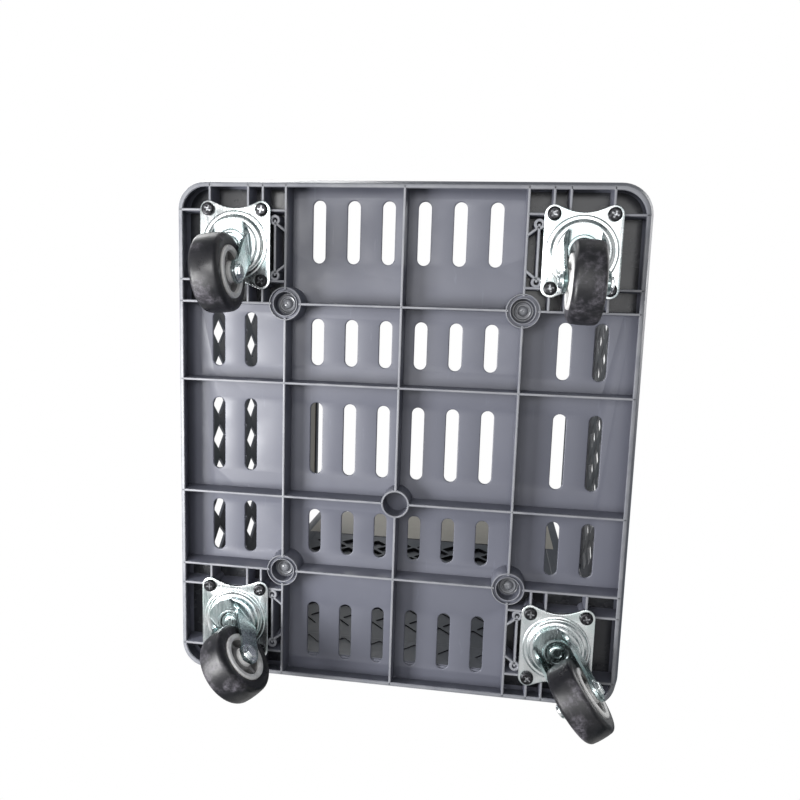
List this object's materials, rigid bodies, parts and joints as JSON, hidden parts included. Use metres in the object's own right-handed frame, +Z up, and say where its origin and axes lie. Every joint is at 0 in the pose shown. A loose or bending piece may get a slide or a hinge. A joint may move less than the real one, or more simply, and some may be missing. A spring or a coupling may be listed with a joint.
{
  "type": "folding platform cart",
  "caption": "Folding platform cart: slotted plastic base on swivel casters, bi-fold lattice side walls, fold-down back panel and telescoping handle, open front.",
  "frame": {"origin": "on the floor, under the centre of the cart's box with the walls up and the handle pushed in", "axes": "+Z up; -Y towards the open front, away from the handle; +X to the left of somebody who pushes the cart by its handle"},
  "size_m": [0.3902, 0.4442, 0.594],
  "materials": {
    "platform": "satin moulded polypropylene, fine grain",
    "wall": "satin moulded polypropylene, fine grain",
    "zinc": "bright bluish zinc plate",
    "tyre": "matte thermoplastic rubber, dusty from use",
    "hub": "off-white polypropylene, slight gloss",
    "screw": "black oxide, satin",
    "tube": "brushed, chromed steel",
    "grip": "fine-textured black plastic"
  },
  "bodies": {
    "base": {"base_platform": "platform", "ring_screw_front_left": "platform", "ring_screw_front_right": "platform", "ring_screw_back_left": "platform", "ring_screw_back_right": "platform", "caster_plate_front_left": "zinc", "caster_bearing_front_left": "zinc", "caster_screw_front_left_1": "screw", "caster_screw_front_left_2": "screw", "caster_screw_front_left_3": "screw", "caster_screw_front_left_4": "screw", "caster_plate_front_right": "zinc", "caster_bearing_front_right": "zinc", "caster_screw_front_right_1": "screw", "caster_screw_front_right_2": "screw", "caster_screw_front_right_3": "screw", "caster_screw_front_right_4": "screw", "caster_plate_back_left": "zinc", "caster_bearing_back_left": "zinc", "caster_screw_back_left_1": "screw", "caster_screw_back_left_2": "screw", "caster_screw_back_left_3": "screw", "caster_screw_back_left_4": "screw", "caster_plate_back_right": "zinc", "caster_bearing_back_right": "zinc", "caster_screw_back_right_1": "screw", "caster_screw_back_right_2": "screw", "caster_screw_back_right_3": "screw", "caster_screw_back_right_4": "screw"},
    "fork_front_left": {"caster_fork_front_left": "zinc", "axle_bolt_front_left": "zinc"},
    "wheel_front_left": {"wheel_hub_front_left": "hub", "wheel_tyre_front_left": "tyre"},
    "fork_front_right": {"caster_fork_front_right": "zinc", "axle_bolt_front_right": "zinc"},
    "wheel_front_right": {"wheel_hub_front_right": "hub", "wheel_tyre_front_right": "tyre"},
    "fork_back_left": {"caster_fork_back_left": "zinc", "axle_bolt_back_left": "zinc"},
    "wheel_back_left": {"wheel_hub_back_left": "hub", "wheel_tyre_back_left": "tyre"},
    "fork_back_right": {"caster_fork_back_right": "zinc", "axle_bolt_back_right": "zinc"},
    "wheel_back_right": {"wheel_hub_back_right": "hub", "wheel_tyre_back_right": "tyre"},
    "left_wall_lower": {"left_wall_lower": "wall"},
    "left_wall_upper": {"left_wall_upper": "wall"},
    "right_wall_lower": {"right_wall_lower": "wall"},
    "right_wall_upper": {"right_wall_upper": "wall"},
    "back_panel": {"back_panel": "wall", "handle_sleeve_left": "grip", "handle_sleeve_right": "grip"},
    "handle": {"handle_tube_left": "tube", "handle_tube_right": "tube", "handle_grip": "grip"},
    "release_button": {"release_button": "grip"}
  },
  "joints": [
    {"name": "swivel_front_left", "type": "hinge", "parent": "base", "child": "fork_front_left", "pos_m": [-0.137, -0.16715, 0.062], "axis": [0, 0, 1], "continuous": true},
    {"name": "roll_front_left", "type": "hinge", "parent": "fork_front_left", "child": "wheel_front_left", "pos_m": [-0.13443, -0.14269, 0.03], "axis": [-0.9945, 0.1045, 0], "continuous": true},
    {"name": "swivel_front_right", "type": "hinge", "parent": "base", "child": "fork_front_right", "pos_m": [0.137, -0.16715, 0.062], "axis": [0, 0, 1], "continuous": true},
    {"name": "roll_front_right", "type": "hinge", "parent": "fork_front_right", "child": "wheel_front_right", "pos_m": [0.13614, -0.14256, 0.03], "axis": [-0.9994, -0.0349, 0], "continuous": true},
    {"name": "swivel_back_left", "type": "hinge", "parent": "base", "child": "fork_back_left", "pos_m": [-0.137, 0.15085, 0.062], "axis": [0, 0, 1], "continuous": true},
    {"name": "roll_back_left", "type": "hinge", "parent": "fork_back_left", "child": "wheel_back_left", "pos_m": [-0.12086, 0.16942, 0.03], "axis": [-0.7547, 0.6561, 0], "continuous": true},
    {"name": "swivel_back_right", "type": "hinge", "parent": "base", "child": "fork_back_right", "pos_m": [0.137, 0.15085, 0.062], "axis": [0, 0, 1], "continuous": true},
    {"name": "roll_back_right", "type": "hinge", "parent": "fork_back_right", "child": "wheel_back_right", "pos_m": [0.15248, 0.16997, 0.03], "axis": [-0.7771, 0.6293, 0], "continuous": true},
    {"name": "left_wall_fold", "type": "hinge", "parent": "base", "child": "left_wall_lower", "pos_m": [-0.1863, -0.00815, 0.1168], "axis": [0, 1, 0], "range_deg": [0, 90]},
    {"name": "left_wall_unfold", "type": "hinge", "parent": "left_wall_lower", "child": "left_wall_upper", "pos_m": [-0.1901, -0.00815, 0.3234], "axis": [0, 1, 0], "range_deg": [-180, 0]},
    {"name": "right_wall_fold", "type": "hinge", "parent": "base", "child": "right_wall_lower", "pos_m": [0.1863, -0.00815, 0.0987], "axis": [0, -1, 0], "range_deg": [0, 90]},
    {"name": "right_wall_unfold", "type": "hinge", "parent": "right_wall_lower", "child": "right_wall_upper", "pos_m": [0.1901, -0.00815, 0.31435], "axis": [0, -1, 0], "range_deg": [-180, 0]},
    {"name": "back_fold", "type": "hinge", "parent": "base", "child": "back_panel", "pos_m": [0, 0.19785, 0.1349], "axis": [1, 0, 0], "range_deg": [0, 90]},
    {"name": "handle_slide", "type": "slide", "parent": "back_panel", "child": "handle", "axis": [0, 0, 1], "range_m": [0, 0.31]},
    {"name": "button_press", "type": "slide", "parent": "handle", "child": "release_button", "axis": [0, 0, -1], "range_m": [0, 0.0025], "stiffness_N_per_m": 400, "springref_m": -0.001}
  ],
  "couplings": [
    {"joint": "left_wall_unfold", "follows": "left_wall_fold", "ratio": -2},
    {"joint": "right_wall_unfold", "follows": "right_wall_fold", "ratio": -2}
  ]
}
